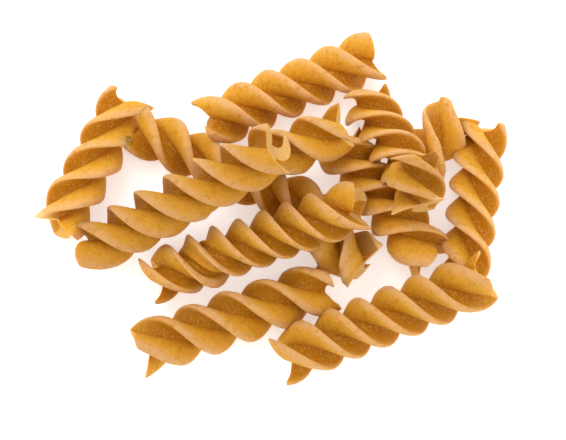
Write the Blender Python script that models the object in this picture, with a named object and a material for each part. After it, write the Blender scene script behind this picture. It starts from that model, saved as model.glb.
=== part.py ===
"""Loose heap of dry spiral pasta (fusilli), one solid out to its uneven outline.

Every spiral is a screw of three blades around a slim core. The blades flare
towards a rounded rim and lean over to one side. The screws lie on the table
and on each other as they fell, and where two touch they run together, so the
heap is one closed body. Flats ground under the lowest rims carry it.
"""

import math

import bmesh
import bpy
from mathutils import Matrix, Vector

MM = 0.001

# One blade of the cross-section: share of the outer radius, half thickness in mm.
BLADES = 3
CORE_RADIUS = 1.55
BLADE_PROFILE = ((0.58, 0.90), (0.91, 1.15))
RINGS_PER_TURN = 10

# At its two ends every blade runs out in a tip past the core: its reach and the
# length over which it grows, in mm.
TIP_REACH = 1.6
TIP_BLEND = 4.0

# Added to every outer radius, so that screws in contact run together, in mm.
SWELL = 0.2

# Ends A and B of the axis in mm, hand of the screw (1 right, -1 left), roll of
# the first blade at mid-length in degrees, pitch in mm, outer radius in mm,
# lean of the rim in degrees.
SCREWS = {
    "west_outer": ((-27.6, 19.7, 4.4), (-38.5, -1.1, 4.4), 1, 41, 17.3, 4.7, -22),
    "west_inner": ((-25.1, 15.3, 4.4), (5.8, 0.9, 4.4), 1, 5, 18.4, 4.6, -14),
    "north_long": ((-12.2, 15.5, 5.3), (15.2, 29.1, 4.5), 1, 25, 16.6, 4.9, -18),
    "west_ramp": ((-33.0, -5.5, 4.4), (-1.9, 8.3, 20.4), 1, 117, 17.9, 5.0, 28),
    "centre_ramp": ((-21.1, -10.3, 3.9), (11.2, -0.2, 12.8), 1, 38, 13.3, 4.8, -28),
    "north_bridge": ((-2.8, 8.9, 10.7), (9.6, 13.4, 12.7), 1, 95, 17.6, 4.6, 15),
    "north_east_prop": ((14.6, 20.4, 4.3), (23.4, 3.7, 10.9), -1, 74, 13.1, 4.9, 20),
    "east_prop": ((29.3, 17.4, 5.2), (25.0, 11.0, 4.5), -1, 85, 12.6, 4.9, -18),
    "east_stub": ((21.6, 7.4, 18.0), (23.3, -0.7, 17.9), -1, 19, 15.1, 4.9, 16),
    "centre_prop": ((10.7, 11.5, 4.8), (23.8, -5.8, 4.7), -1, 27, 13.3, 5.0, 22),
    "east_long": ((34.8, 14.6, 4.4), (31.0, -11.0, 4.8), -1, 92, 15.8, 4.6, 16),
    "south_east_ramp": ((1.1, -24.3, 4.9), (32.7, -12.7, 9.8), 1, 94, 15.9, 5.0, -18),
    "south_long": ((-23.2, -23.0, 4.8), (6.9, -12.6, 4.8), 1, 17, 19.0, 5.0, 14),
    "centre_stub": ((13.8, -8.8, 5.0), (6.1, -2.7, 5.0), 1, 20, 18.2, 5.2, -35),
}

BOX_REACH = 120.0
SURFACE = (0.62, 0.38, 0.15, 1.0)


def clear_scene():
    for ob in list(bpy.data.objects):
        bpy.data.objects.remove(ob, do_unlink=True)
    for collection in list(bpy.data.collections):
        bpy.data.collections.remove(collection)


def blade_outline(radius, lean):
    """Closed cross-section as (radius, angle) pairs, counter-clockwise."""
    outline = []
    for blade in range(BLADES):
        middle = math.tau * blade / BLADES
        outline.append((CORE_RADIUS, middle - math.pi / BLADES))
        flank = [(share * radius, math.asin(half / (share * radius))) for share, half in BLADE_PROFILE]
        for r, angle in flank:
            outline.append((r, middle - angle + bend(r, radius, lean)))
        outline.append((radius, middle + lean))
        for r, angle in reversed(flank):
            outline.append((r, middle + angle + bend(r, radius, lean)))
    return outline


def bend(r, radius, lean):
    """Angle by which the blade leans over at radius r."""
    return lean * max(0.0, (r - CORE_RADIUS) / (radius - CORE_RADIUS))


def tip_reach(along, length, share):
    """How far a blade tip runs past the core at the two ends of a screw."""
    gap = min(along, length - along)
    pull = max(0.0, 1.0 - gap / TIP_BLEND) ** 2 * share ** 3 * TIP_REACH
    return pull if along > length / 2 else -pull


def screw_mesh(name, end_a, end_b, hand, roll, pitch, radius, lean):
    start, stop = Vector(end_a), Vector(end_b)
    axis = stop - start
    length = axis.length
    axis.normalize()
    side = Vector((0.0, 0.0, 1.0)).cross(axis).normalized()
    over = axis.cross(side)
    turns = length / pitch
    rings = max(2, round(turns * RINGS_PER_TURN))
    outline = blade_outline(radius + SWELL, math.radians(lean))
    bm = bmesh.new()
    grid = []
    for step in range(rings + 1):
        share = step / rings
        ring = []
        for r, angle in outline:
            along = length * share + tip_reach(length * share, length, r / radius)
            at = angle + math.radians(roll) + hand * math.tau * (along / pitch - turns / 2)
            point = start + axis * along + side * (r * math.cos(at)) + over * (r * math.sin(at))
            ring.append(bm.verts.new(point * MM))
        grid.append(ring)
    count = len(outline)
    for low, high in zip(grid, grid[1:]):
        for i in range(count):
            j = (i + 1) % count
            if hand > 0:
                bm.faces.new((low[i], low[j], high[i]))
                bm.faces.new((low[j], high[j], high[i]))
            else:
                bm.faces.new((low[i], low[j], high[j]))
                bm.faces.new((low[i], high[j], high[i]))
    bm.faces.new(list(reversed(grid[0])))
    bm.faces.new(grid[-1])
    bm.normal_update()
    bmesh.ops.triangulate(bm, faces=bm.faces)
    bmesh.ops.recalc_face_normals(bm, faces=bm.faces)
    mesh = bpy.data.meshes.new(name)
    bm.to_mesh(mesh)
    bm.free()
    return mesh


def box_mesh(name, low, high):
    bm = bmesh.new()
    bmesh.ops.create_cube(bm, size=1.0)
    size = Vector(high) - Vector(low)
    middle = (Vector(high) + Vector(low)) / 2
    bmesh.ops.transform(bm, matrix=Matrix.Translation(middle * MM) @ Matrix.Diagonal((*(size * MM), 1.0)), verts=bm.verts)
    mesh = bpy.data.meshes.new(name)
    bm.to_mesh(mesh)
    bm.free()
    return mesh


def add_object(mesh, collection, cutter=False):
    ob = bpy.data.objects.new(mesh.name, mesh)
    collection.objects.link(ob)
    if cutter:
        ob.hide_render = True
        ob.display_type = "WIRE"
    return ob


def boolean(ob, other, operation):
    modifier = ob.modifiers.new(f"{operation.title()} {other.name}", "BOOLEAN")
    modifier.operation = operation
    modifier.solver = "EXACT"
    modifier.object = other


def islands(bm):
    """Connected shells of the mesh, each as a list of faces."""
    left = set(bm.faces)
    found = []
    while left:
        seed = left.pop()
        shell, front = [seed], [seed]
        while front:
            face = front.pop()
            for edge in face.edges:
                for other in edge.link_faces:
                    if other in left:
                        left.remove(other)
                        shell.append(other)
                        front.append(other)
        found.append(shell)
    return found


def settle(ob):
    """Keep the outer shell of the evaluated solid and stand it on the origin."""
    graph = bpy.context.evaluated_depsgraph_get()
    bm = bmesh.new()
    bm.from_mesh(ob.evaluated_get(graph).to_mesh())
    bmesh.ops.triangulate(bm, faces=bm.faces)
    shells = sorted(islands(bm), key=len)
    for shell in shells[:-1]:
        bmesh.ops.delete(bm, geom=shell, context="FACES")
    bmesh.ops.delete(bm, geom=[v for v in bm.verts if not v.link_faces], context="VERTS")
    low = Vector([min(v.co[i] for v in bm.verts) for i in range(3)])
    high = Vector([max(v.co[i] for v in bm.verts) for i in range(3)])
    base = Vector(((low.x + high.x) / 2, (low.y + high.y) / 2, low.z))
    bmesh.ops.translate(bm, vec=-base, verts=bm.verts)
    ob.modifiers.clear()
    bm.to_mesh(ob.data)
    bm.free()


def matter(name):
    material = bpy.data.materials.new(name)
    material.use_nodes = True
    shader = material.node_tree.nodes["Principled BSDF"]
    shader.inputs["Base Color"].default_value = SURFACE
    shader.inputs["Roughness"].default_value = 0.6
    return material


def main():
    clear_scene()
    heap = bpy.data.collections.new("fusilli_heap")
    cutters = bpy.data.collections.new("cutters")
    bpy.context.scene.collection.children.link(heap)
    bpy.context.scene.collection.children.link(cutters)

    names = list(SCREWS)
    body = add_object(screw_mesh("pasta_heap", *SCREWS[names[0]]), heap)
    for name in names[1:]:
        screw = add_object(screw_mesh(name, *SCREWS[name]), cutters, cutter=True)
        boolean(body, screw, "UNION")
    table = box_mesh("table", (-BOX_REACH, -BOX_REACH, -BOX_REACH), (BOX_REACH, BOX_REACH, 0.0))
    boolean(body, add_object(table, cutters, cutter=True), "DIFFERENCE")
    bpy.context.view_layer.update()
    settle(body)

    body.data.materials.append(matter("dry_pasta"))
    body.data.shade_smooth()
    body.data.set_sharp_from_angle(angle=math.radians(50))


main()
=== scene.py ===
"""Looks of a loose heap of dry wholewheat fusilli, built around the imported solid."""
import math

import bpy
import numpy as np
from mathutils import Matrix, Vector


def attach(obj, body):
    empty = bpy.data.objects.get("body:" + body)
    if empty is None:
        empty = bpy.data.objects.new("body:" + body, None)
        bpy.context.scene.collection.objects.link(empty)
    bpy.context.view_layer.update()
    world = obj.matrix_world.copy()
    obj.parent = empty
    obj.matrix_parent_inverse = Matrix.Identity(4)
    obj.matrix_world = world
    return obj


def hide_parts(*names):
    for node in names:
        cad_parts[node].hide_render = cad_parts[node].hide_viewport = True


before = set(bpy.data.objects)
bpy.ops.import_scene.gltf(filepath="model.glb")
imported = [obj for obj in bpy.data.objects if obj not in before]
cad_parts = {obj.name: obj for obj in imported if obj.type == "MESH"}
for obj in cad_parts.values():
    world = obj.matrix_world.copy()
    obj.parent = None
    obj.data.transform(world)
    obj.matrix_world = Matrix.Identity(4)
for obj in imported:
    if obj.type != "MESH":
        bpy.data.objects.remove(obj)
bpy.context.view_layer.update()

MM = 0.001
PHOTO_W, PHOTO_H = 566, 440

# Ends A and B of the axis in mm, hand of the screw (1 right, -1 left), roll of
# the first blade at mid-length in degrees, pitch in mm, outer radius in mm,
# lean of the rim in degrees: the solid's figures, four spirals turned or moved a little.
SCREWS = {
    "west_outer": ((-25.4, 17.0, 4.4), (-36.3, -3.7, 4.4), 1, 41, 17.3, 4.7, -22),
    "west_inner": ((-22.8, 12.6, 4.4), (8.0, -1.7, 4.4), 1, 5, 18.4, 4.6, -14),
    "north_long": ((-10.1, 13.9, 5.3), (17.5, 25.5, 4.5), 1, 102, 16.6, 4.9, -18),
    "west_ramp": ((-30.7, -8.1, 4.4), (0.3, 5.7, 20.4), 1, 117, 17.9, 5.0, 28),
    "centre_ramp": ((-18.9, -12.9, 3.9), (13.4, -2.9, 12.8), 1, 78, 13.3, 4.8, -28),
    "north_bridge": ((-0.6, 6.3, 10.7), (11.8, 10.7, 12.7), 1, 95, 17.6, 4.6, 15),
    "north_east_prop": ((16.5, 17.6, 4.3), (25.3, 0.9, 10.9), -1, 74, 13.1, 4.9, 20),
    "east_prop": ((31.5, 14.7, 5.2), (27.3, 8.3, 4.5), -1, 15, 12.6, 4.9, -18),
    "east_stub": ((23.8, 4.7, 18.0), (25.5, -3.3, 17.9), -1, 19, 15.1, 4.9, 16),
    "centre_prop": ((12.9, 8.8, 4.8), (26.0, -8.4, 4.7), -1, 27, 13.3, 5.0, 22),
    "east_long": ((37.0, 12.0, 4.4), (33.3, -13.6, 4.8), -1, 92, 15.8, 4.6, 16),
    "south_east_ramp": ((3.4, -26.9, 4.9), (35.0, -15.3, 9.8), 1, 94, 15.9, 5.0, -18),
    "south_long": ((-21.0, -25.7, 4.8), (9.1, -15.3, 4.8), 1, 17, 19.0, 5.0, 14),
    "centre_stub": ((16.0, -11.4, 5.0), (8.3, -5.3, 5.0), 1, 20, 18.2, 5.2, -35),
}
VIEW_CENTRE = (2.2, -2.6, 0.0)

BLADES = 3
CORE_RADIUS = 1.55
# Radius and half thickness of one blade in mm, at 5 mm outer radius: the
# undercut flank on the side that the rim leans to, and the full one behind it.
HOLLOW_PROFILE = (
    (1.55, 1.342), (1.95, 1.04), (2.50, 0.80), (3.20, 0.78), (3.85, 0.94), (4.35, 1.08), (4.68, 1.00), (4.90, 0.68), (5.00, 0.0),
)
FULL_PROFILE = (
    (1.55, 1.342), (1.95, 1.60), (2.50, 1.80), (3.20, 1.92), (3.85, 1.86), (4.35, 1.66), (4.68, 1.34), (4.90, 0.84), (5.00, 0.0),
)
# Reach of the blade tips past the core at the two ends, and the length over
# which it grows, in mm.
TIP_REACH = 1.9
TIP_BLEND = 4.5

# Tips that reach further or less: end (0 at A, 1 at B), blade, share of TIP_REACH.
TIPS = {
    "east_stub": ((0, 0, 0.2), (0, 1, 0.2), (0, 2, 0.2), (1, 0, 0.2), (1, 1, 0.2), (1, 2, 0.2)),
    "north_long": ((1, 0, 0.6), (1, 1, 0.6), (1, 2, 0.6)),
    "north_east_prop": ((0, 0, 0.4), (0, 1, 0.4), (0, 2, 0.4)),
    "centre_ramp": ((1, 0, 1.5), (1, 1, 1.5), (1, 2, 1.5), (0, 0, 1.2), (0, 1, 1.2), (0, 2, 1.2)),
    "centre_stub": ((0, 0, 0.3), (0, 1, 0.3), (0, 2, 0.3)),
    "centre_prop": ((1, 0, 2.0), (1, 1, 2.0), (1, 2, 2.0)),
    "south_east_ramp": ((1, 0, 1.5), (1, 1, 1.5), (1, 2, 1.5), (0, 0, 1.2), (0, 1, 1.2), (0, 2, 1.2)),
}
# Places pressed into folds: middle and half length as shares of the length,
# depth as a share of the radius.
PRESSED = {"centre_ramp": ((0.24, 0.17, 0.13),)}
# Ragged places: blade (-1 for all), middle, half length, roughness, paleness.
RAGGED = {
    "west_ramp": ((0, 0.60, 0.09, 0.10, 0.7), (1, 0.60, 0.09, 0.10, 0.5)),
    "centre_stub": ((-1, 0.05, 0.40, 0.06, 0.9),),
    "east_stub": ((-1, 0.0, 0.16, 0.07, 0.7), (-1, 1.0, 0.12, 0.07, 0.7)),
    "west_outer": ((2, 1.0, 0.06, 0.08, 0.9),),
}
# How light each spiral is, 0 to 1.
TONES = {
    "west_outer": 1.0, "west_inner": 0.72, "north_long": 0.98, "west_ramp": 0.26, "centre_ramp": 0.60, "north_bridge": 0.55, "north_east_prop": 0.86,
    "east_prop": 1.0, "east_stub": 0.15, "centre_prop": 0.90, "east_long": 1.0, "south_east_ramp": 0.52, "south_long": 0.40, "centre_stub": 0.36,
}
# How pale the break face is at the ends A and B.
PALE_ENDS = {"west_ramp": (0.3, 0.7), "centre_ramp": (0.2, 0.6), "north_bridge": (0.2, 0.7), "centre_stub": (0.8, 0.4), "east_stub": (0.6, 0.6)}

POINTS_PER_FLANK = 15
RING_STEP = 0.26
LIFT = 0.02  # the looks stand this far over the table, in mm


# ---------------------------------------------------------------- camera
camera_data = bpy.data.cameras.new("camera")
camera_data.sensor_fit = "HORIZONTAL"
camera_data.sensor_width = 36.0
camera_data.lens = 2800.0 * 36.0 / PHOTO_W
camera_data.clip_start = 0.01
camera = bpy.data.objects.new("camera", camera_data)
bpy.context.scene.collection.objects.link(camera)
bpy.context.scene.camera = camera
ELEVATION = math.radians(80.0)
target = Vector(VIEW_CENTRE) * MM
back = Vector((0.0, -math.cos(ELEVATION), math.sin(ELEVATION)))
camera.location = target + back * (2800.0 / 5.7 * MM)
camera.rotation_euler = (math.pi / 2 - ELEVATION, 0.0, 0.0)


# ---------------------------------------------------------------- shape
def catmull(points, per):
    """Smooth curve through the points, per points for each span."""
    p = np.asarray(points, float)
    ext = np.vstack([2 * p[0] - p[1], p, 2 * p[-1] - p[-2]])
    t = np.linspace(0.0, 1.0, per, endpoint=False)[:, None]
    out = []
    for i in range(1, len(ext) - 2):
        a, b, c, d = ext[i - 1 : i + 3]
        out.append(0.5 * (2 * b + (c - a) * t + (2 * a - 5 * b + 4 * c - d) * t**2 + (3 * b - a - 3 * c + d) * t**3))
    return np.vstack(out + [p[-1:]])


def even(points, count):
    """The polyline resampled to count + 1 points at even distances."""
    d = np.r_[0.0, np.cumsum(np.hypot(*np.diff(points, axis=0).T))]
    q = np.linspace(0.0, d[-1], count + 1)
    return np.column_stack([np.interp(q, d, points[:, k]) for k in (0, 1)])


def flank_outline(profile):
    """Radius and angle of one flank from the core to the rim."""
    flat = [(math.sqrt(max(0.0, r * r - h * h)), h) for r, h in profile]
    flank = even(catmull(flat, 8), POINTS_PER_FLANK)
    return np.hypot(flank[:, 0], flank[:, 1]), np.arctan2(flank[:, 1], flank[:, 0])


def blade_outline(lean):
    """Radius, angle and blade number of the closed cross-section at 5 mm outer radius."""
    first, second = (HOLLOW_PROFILE, FULL_PROFILE) if lean < 0 else (FULL_PROFILE, HOLLOW_PROFILE)
    r1, a1 = flank_outline(first)
    r2, a2 = flank_outline(second)
    r = np.r_[r1, r2[::-1][1:-1]]
    a = np.r_[-a1, a2[::-1][1:-1]]
    radius = np.tile(r, BLADES)
    angle = np.concatenate([a + math.tau * k / BLADES for k in range(BLADES)])
    blade = np.repeat(np.arange(BLADES), len(r))
    return radius, angle, blade


def wave(s, rng, cycles=3, base=1.0):
    """Smooth uneven curve of about unit size over s from 0 to 1."""
    y = np.zeros_like(s)
    for k in range(1, cycles + 1):
        y += rng.uniform(-1, 1) / k * np.sin(math.pi * base * k * s + rng.uniform(0, math.tau))
    return y


def bump_at(s, place, half):
    """Smooth hump of height 1 around a place."""
    return np.clip(1.0 - ((s - place) / half) ** 2, 0.0, 1.0) ** 2


def screw(name, end_a, end_b, hand, roll, pitch, radius, lean, seed):
    """Vertices and the attribute values of one spiral, in mm."""
    rng = np.random.RandomState(seed)
    start, stop = np.array(end_a), np.array(end_b)
    length = np.linalg.norm(stop - start)
    axis = (stop - start) / length
    side = np.cross((0.0, 0.0, 1.0), axis)
    side /= np.linalg.norm(side)
    over = np.cross(axis, side)
    rings = int(length / RING_STEP)
    s = np.linspace(0.0, 1.0, rings + 1)
    r0, a0, blade = blade_outline(lean)
    count = len(r0)

    turns = length / pitch
    share = np.clip((r0 - CORE_RADIUS) / (5.0 - CORE_RADIUS), 0, 1)
    bend = math.radians(lean) * share ** 2.0
    # each tip reaches out by its own amount
    pull = TIP_REACH * (1.0 + 0.22 * rng.uniform(-1, 1, (2, BLADES)))
    for end, blade_no, factor in TIPS.get(name, ()):
        pull[end, blade_no] = TIP_REACH * factor
    gap = np.minimum(s, 1.0 - s) * length
    near = np.clip(1.0 - gap / TIP_BLEND, 0.0, 1.0) ** 1.5
    ending = (s > 0.5).astype(int)
    reach = near[:, None] * pull[ending][:, blade] * share[None, :] * np.where(ending, 1.0, -1.0)[:, None]
    along = (length * s)[:, None] + reach
    twist = math.radians(roll) + hand * math.tau * ((along - 0.9 * reach) / pitch - turns / 2)
    twist = twist + (0.05 * wave(s, rng, 3, 2.0))[:, None]
    grow = np.ones((rings + 1, count))
    for k in range(BLADES):
        rim = 1.0 + 0.018 * wave(s, rng, 6, 4.0)
        cols = blade == k
        grow[:, cols] = 1.0 + (rim[:, None] - 1.0) * share[None, cols]
    r = r0[None, :] * (radius / 5.0) * grow
    pale = np.zeros_like(r)
    for place, half, depth in PRESSED.get(name, ()):
        hump = bump_at(s, place, half)[:, None]
        r = r + hump * np.maximum(0.0, 0.66 * radius - r) * 0.75
        r = r * (1.0 + hump * depth * np.cos(3 * BLADES * a0 + 2.0 * wave(s, rng, 3, 2.0)[:, None]))
    for blade_no, place, half, amount, cream in RAGGED.get(name, ()):
        hump = bump_at(s, place, half)[:, None] * ((blade_no < 0) | (blade == blade_no))[None, :]
        rag = np.stack([wave(s, rng, 26, 2.0) for k in range(BLADES)])[blade].T
        r = r * (1.0 + hump * amount * rag * share[None, :])
        along = along + hump * 0.35 * np.stack([wave(s, rng, 22, 2.0) for k in range(BLADES)])[blade].T * share[None, :]
        pale = np.maximum(pale, hump * cream * np.clip(0.45 + 0.9 * rag, 0.0, 1.0) * share[None, :])
    at = a0[None, :] + bend[None, :] * (1.0 + 0.25 * wave(s, rng, 3, 3.0))[:, None] + twist
    off = 0.12 * np.stack([wave(s, rng, 2, 1.5), wave(s, rng, 2, 1.5)])
    centre = start + side * off[0][:, None] + over * off[1][:, None]
    points = centre[:, None, :] + axis * along[:, :, None] + (r * np.cos(at))[:, :, None] * side + (r * np.sin(at))[:, :, None] * over
    # share of the radius, from which the material paints shade darkest towards the core
    rimness = np.broadcast_to(share[None, :], r.shape).copy()
    # the flank under the leaning rim is the hollow one; the material paints shade on it and light on the full flank
    # behind
    flank = np.sin(BLADES * a0) * (1.0 if lean > 0 else -1.0)
    hollow = np.broadcast_to(flank[None, :] * (1.0 - share[None, :] ** 6), r.shape).copy()
    return points, rimness, hollow, pale


def surface(points, rimness, hollow, pale, ends):
    """Closes the ends with flat caps and returns vertices, faces and values."""
    rings, count = points.shape[:2]
    vertices = [points.reshape(-1, 3)]
    rim = [rimness.reshape(-1)]
    dip = [hollow.reshape(-1)]
    cut = [pale.reshape(-1)]
    i = np.arange(count)
    j = (i + 1) % count
    faces = []
    for k in range(rings - 1):
        faces.append(np.column_stack([k * count + i, k * count + j, (k + 1) * count + j, (k + 1) * count + i]))
    faces = np.concatenate(faces)
    total = rings * count
    per = count // BLADES
    caps = []
    for end, ring in ((0, points[0]), (rings - 1, points[-1])):
        # the end face: each blade is a strip between its two flanks, the core a small fan
        base = total
        vertices.append(ring)
        rim.append(rimness[end])
        dip.append(np.zeros(count))
        cut.append(np.full(count, ends[1 if end else 0]))
        total += count
        half = per // 2
        for b in range(BLADES):
            o = b * per
            for q in range(half - 1):
                a, c = o + q + 1, (o + per - q - 1)
                a2, c2 = o + q + 2, (o + per - q - 2)
                quad = [a, a2, c2, c] if a2 != c2 else [a, a2, c]
                caps.append([base + v for v in (quad if end else quad[::-1])])
        hub = []
        for b in range(BLADES):
            o = b * per
            hub += [o, o + 1, o + per - 1]
        hub = [base + v for v in hub]
        caps.append(hub if end else hub[::-1])
    return np.concatenate(vertices), faces, caps, np.concatenate(rim), np.concatenate(cut), np.concatenate(dip)


def build(name, parts):
    """One mesh object of several spirals, with their paint values, painted shade and light among them, as attributes.
    """
    vertices, faces, rim, cut, tone, hollow = [], [], [], [], [], []
    total = 0
    for part in parts:
        v, quads, caps, r, c, h, t = part
        vertices.append(v)
        faces += (quads + total).tolist()
        faces += [[q + total for q in f] for f in caps]
        rim.append(r)
        cut.append(c)
        hollow.append(h)
        tone.append(np.full(len(v), t))
        total += len(v)
    mesh = bpy.data.meshes.new(name)
    mesh.from_pydata((np.concatenate(vertices) * MM).tolist(), [], faces)
    for key, values in (("rim", rim), ("cut", cut), ("hollow", hollow), ("tone", tone)):
        layer = mesh.attributes.new(key, "FLOAT", "POINT")
        layer.data.foreach_set("value", np.concatenate(values).astype(np.float32))
    mesh.validate()
    mesh.shade_smooth()
    ob = bpy.data.objects.new(name, mesh)
    bpy.context.scene.collection.objects.link(ob)
    return ob


# ---------------------------------------------------------------- material
class Nodes:
    def __init__(self, name):
        self.material = bpy.data.materials.new(name)
        self.material.use_nodes = True
        self.tree = self.material.node_tree
        self.tree.nodes.clear()

    def add(self, kind, inputs=None, **settings):
        node = self.tree.nodes.new(kind)
        for key, value in settings.items():
            setattr(node, key, value)
        for key, value in (inputs or {}).items():
            if isinstance(value, bpy.types.NodeSocket):
                self.tree.links.new(value, node.inputs[key])
            else:
                node.inputs[key].default_value = value
        return node

    def math(self, operation, a, b=0.0, c=0.0, clamp=False):
        return self.add("ShaderNodeMath", {0: a, 1: b, 2: c}, operation=operation, use_clamp=clamp).outputs[0]

    def ramp(self, value, stops):
        node = self.add("ShaderNodeValToRGB", {0: value})
        ramp = node.color_ramp
        while len(ramp.elements) < len(stops):
            ramp.elements.new(0.5)
        for element, (place, colour) in zip(ramp.elements, stops):
            element.position = place
            element.color = (*colour, 1.0) if len(colour) == 3 else colour
        return node.outputs[0]

    def mix(self, share, a, b, blend="MIX"):
        node = self.add("ShaderNodeMix", data_type="RGBA", blend_type=blend)
        for key, value in ((0, share), (6, a), (7, b)):
            if isinstance(value, bpy.types.NodeSocket):
                self.tree.links.new(value, node.inputs[key])
            else:
                node.inputs[key].default_value = value if key == 0 else (*value, 1.0)
        return node.outputs[2]


def pasta_material():
    n = Nodes("dry_wholewheat_pasta")
    place = n.add("ShaderNodeTexCoord").outputs["Object"]
    rim = n.add("ShaderNodeAttribute", attribute_name="rim").outputs["Fac"]
    cut = n.add("ShaderNodeAttribute", attribute_name="cut").outputs["Fac"]
    tone = n.add("ShaderNodeAttribute", attribute_name="tone").outputs["Fac"]

    cloud = n.add("ShaderNodeTexNoise", {"Vector": place, "Scale": 260.0, "Detail": 3.0, "Roughness": 0.55}).outputs["Fac"]
    grain = n.add("ShaderNodeTexNoise", {"Vector": place, "Scale": 2600.0, "Detail": 2.0, "Roughness": 0.6}).outputs["Fac"]
    blotch = n.add("ShaderNodeTexNoise", {"Vector": place, "Scale": 900.0, "Detail": 2.0, "Roughness": 0.5}).outputs["Fac"]

    hollow = n.add("ShaderNodeAttribute", attribute_name="hollow").outputs["Fac"]
    # painted shade: the blade colour runs from deep amber at the core to tan at the rims, so the hollows between the
    # blades are darkest; a noise mottles it
    level = n.math("MULTIPLY_ADD", n.math("SUBTRACT", cloud, 0.5), 0.30, rim)
    body = n.ramp(level, ((0.0, (0.46, 0.165, 0.001)), (0.42, (0.63, 0.275, 0.004)), (0.74, (0.68, 0.335, 0.022)), (0.88, (0.67, 0.350, 0.085)), (1.0, (0.67, 0.385, 0.170))))
    # painted shade: the hollow flank under the leaning rim is painted darker amber
    dip = n.math("MULTIPLY", n.math("MAXIMUM", hollow, 0.0), 0.85)
    body = n.mix(dip, body, (0.42, 0.150, 0.000))
    # painted light: the full flank behind the leaning rim is painted lighter tan
    back = n.math("MULTIPLY", n.math("MAXIMUM", n.math("MULTIPLY", hollow, -1.0), 0.0), 0.55)
    body = n.mix(back, body, (0.67, 0.330, 0.030))
    body = n.mix(n.math("MULTIPLY_ADD", n.math("SUBTRACT", grain, 0.5), 1.5, 0.05, clamp=True), body, (0.82, 0.50, 0.17))
    body = n.mix(n.math("MULTIPLY_ADD", n.math("SUBTRACT", blotch, 0.54), 2.2, 0.0, clamp=True), body, (0.44, 0.17, 0.008))
    # pale bran flecks and a few dark ones
    fleck = n.add("ShaderNodeTexVoronoi", {"Vector": place, "Scale": 1700.0, "Randomness": 1.0})
    pale = n.math("MULTIPLY", n.math("LESS_THAN", fleck.outputs["Distance"], 0.22), n.math("GREATER_THAN", n.add("ShaderNodeSeparateColor", {0: fleck.outputs["Color"]}).outputs[0], 0.70))
    body = n.mix(n.math("MULTIPLY", pale, 0.22), body, (0.92, 0.68, 0.34))
    speck = n.add("ShaderNodeTexVoronoi", {"Vector": place, "Scale": 700.0, "Randomness": 1.0})
    dark = n.math("MULTIPLY", n.math("LESS_THAN", speck.outputs["Distance"], 0.12), n.math("GREATER_THAN", n.add("ShaderNodeSeparateColor", {0: speck.outputs["Color"]}).outputs[1], 0.86))
    body = n.mix(n.math("MULTIPLY", dark, 0.45), body, (0.22, 0.085, 0.012))
    body = n.mix(n.math("MULTIPLY", cut, 0.85), body, (0.93, 0.64, 0.29))
    body = n.mix(1.0, body, n.ramp(tone, ((0.0, (0.74, 0.69, 0.60)), (1.0, (1.06, 1.05, 0.97)))), "MULTIPLY")

    height = n.math("ADD", n.math("MULTIPLY", grain, 0.5), n.math("MULTIPLY", blotch, 0.8))
    bump = n.add("ShaderNodeBump", {"Strength": 0.9, "Distance": 0.00022, "Height": height}).outputs["Normal"]
    rough = n.math("MULTIPLY_ADD", grain, 0.2, 0.42)
    shader = n.add(
        "ShaderNodeBsdfPrincipled",
        {"Base Color": body, "Roughness": rough, "Normal": bump, "IOR": 1.45, "Specular IOR Level": 0.08, "Subsurface Weight": 0.50, "Subsurface Radius": (1.0, 0.50, 0.08), "Subsurface Scale": 0.0012},
    )
    out = n.add("ShaderNodeOutputMaterial")
    n.tree.links.new(shader.outputs[0], out.inputs[0])
    return n.material


def plain_material(name, colour, roughness, glow=0.0):
    n = Nodes(name)
    shader = n.add("ShaderNodeBsdfPrincipled", {"Base Color": (*colour, 1.0), "Roughness": roughness, "Specular IOR Level": 0.2, "Emission Color": (1.0, 1.0, 1.0, 1.0), "Emission Strength": glow})
    out = n.add("ShaderNodeOutputMaterial")
    n.tree.links.new(shader.outputs[0], out.inputs[0])
    return n.material


# ---------------------------------------------------------------- pieces
pasta = pasta_material()
groups = {"right_hand_spirals": [], "left_hand_spirals": [], "leaning_spirals": []}
LEANING = ("west_ramp", "centre_ramp", "south_east_ramp", "east_stub", "centre_stub")
for index, (name, figures) in enumerate(SCREWS.items()):
    points, rimness, hollow, pale = screw(name, *figures, seed=index + 11)
    points[:, :, 2] = np.maximum(points[:, :, 2], LIFT)
    vertices, quads, caps, rim, cut, dip = surface(points, rimness, hollow, pale, PALE_ENDS.get(name, (0.3, 0.3)))
    tone = TONES[name]
    kind = "leaning_spirals" if name in LEANING else "right_hand_spirals" if figures[2] > 0 else "left_hand_spirals"
    groups[kind].append((vertices, quads, caps, rim, cut, dip, tone))
for name, parts in groups.items():
    ob = build(name, parts)
    ob.data.materials.append(pasta)
    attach(ob, "root")
    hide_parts("pasta_heap")

# ---------------------------------------------------------------- stage
bpy.ops.mesh.primitive_plane_add(size=6.0, location=(0.0, 0.0, 0.0))
floor = bpy.context.object
floor.name = "floor"
floor.data.materials.append(plain_material("pale_floor", (0.90, 0.90, 0.90), 0.9, glow=0.45))

world = bpy.data.worlds.new("studio")
bpy.context.scene.world = world
world.use_nodes = True
world.node_tree.nodes["Background"].inputs[0].default_value = (1.0, 1.0, 1.0, 1.0)
world.node_tree.nodes["Background"].inputs[1].default_value = 1.05


def area(name, place, size, power, colour=(1.0, 1.0, 1.0)):
    data = bpy.data.lights.new(name, "AREA")
    data.shape = "SQUARE"
    data.size = size
    data.energy = power
    data.color = colour
    ob = bpy.data.objects.new(name, data)
    bpy.context.scene.collection.objects.link(ob)
    ob.location = place
    ob.rotation_euler = (-Vector(place)).to_track_quat("-Z", "Y").to_euler()
    return ob


area("key", (-0.30, 0.40, 0.75), 0.60, 2.7)
area("fill", (0.5, -0.3, 0.7), 0.6, 1.2)
bpy.context.scene.view_settings.view_transform = "Standard"
bpy.context.scene.view_settings.look = "None"
